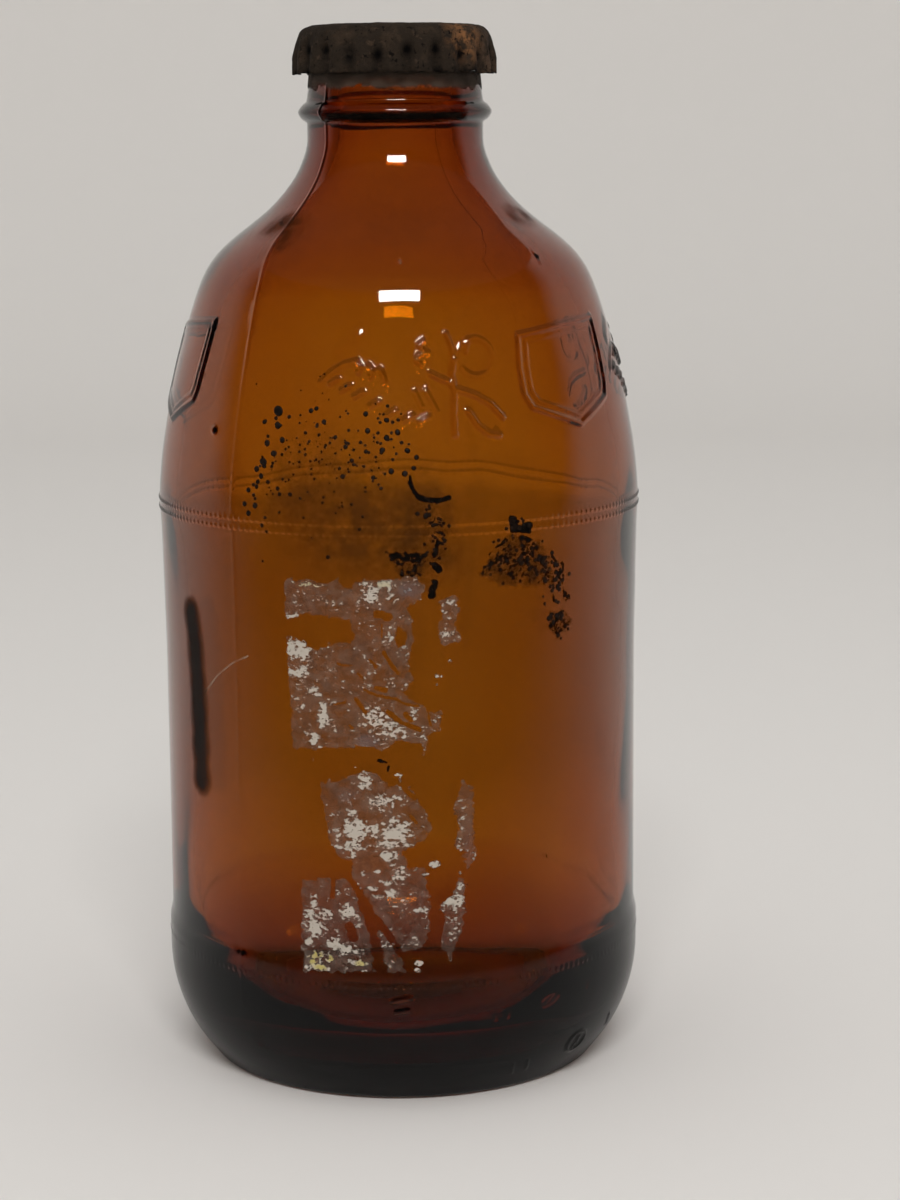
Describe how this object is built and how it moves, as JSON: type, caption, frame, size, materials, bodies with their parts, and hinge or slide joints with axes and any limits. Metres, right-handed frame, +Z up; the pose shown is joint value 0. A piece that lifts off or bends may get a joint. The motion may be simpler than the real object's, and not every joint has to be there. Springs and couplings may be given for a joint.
{
  "type": "glass soda bottle",
  "caption": "Short-necked amber glass soda bottle, closed by a rusted crown cap that lifts off, with torn remains of a paper label on its front.",
  "frame": {"origin": "middle of the bottle's base, on the surface that it stands on", "axes": "+Z up along the bottle's axis; -Y out of the front, where the remains of the label are; +X to the right seen from the front"},
  "size_m": [0.0692, 0.0693, 0.1481],
  "materials": {
    "amber_glass": "clear brown-amber moulded glass, polished outside, with seed bubbles, a mould seam and shallow moulded ornament",
    "rusted_steel": "pressed tinplate crown, rusted dark brown all over with an orange patch",
    "liner": "matt moulded sealing disc",
    "label_paper": "thin torn paper film, grey-brown with off-white fibres"
  },
  "bodies": {
    "bottle": {"glass_bottle": "amber_glass", "label_upper": "label_paper", "label_lower": "label_paper", "label_corner": "label_paper", "label_sliver": "label_paper", "label_strip_top": "label_paper", "label_strip_middle": "label_paper", "label_strip_bottom": "label_paper"},
    "cap": {"crown_cap": "rusted_steel", "cap_liner": "liner"}
  },
  "joints": [
    {"name": "cap_lift", "type": "slide", "parent": "bottle", "child": "cap", "axis": [0, 0, 1], "range_m": [0, 0.03]}
  ]
}
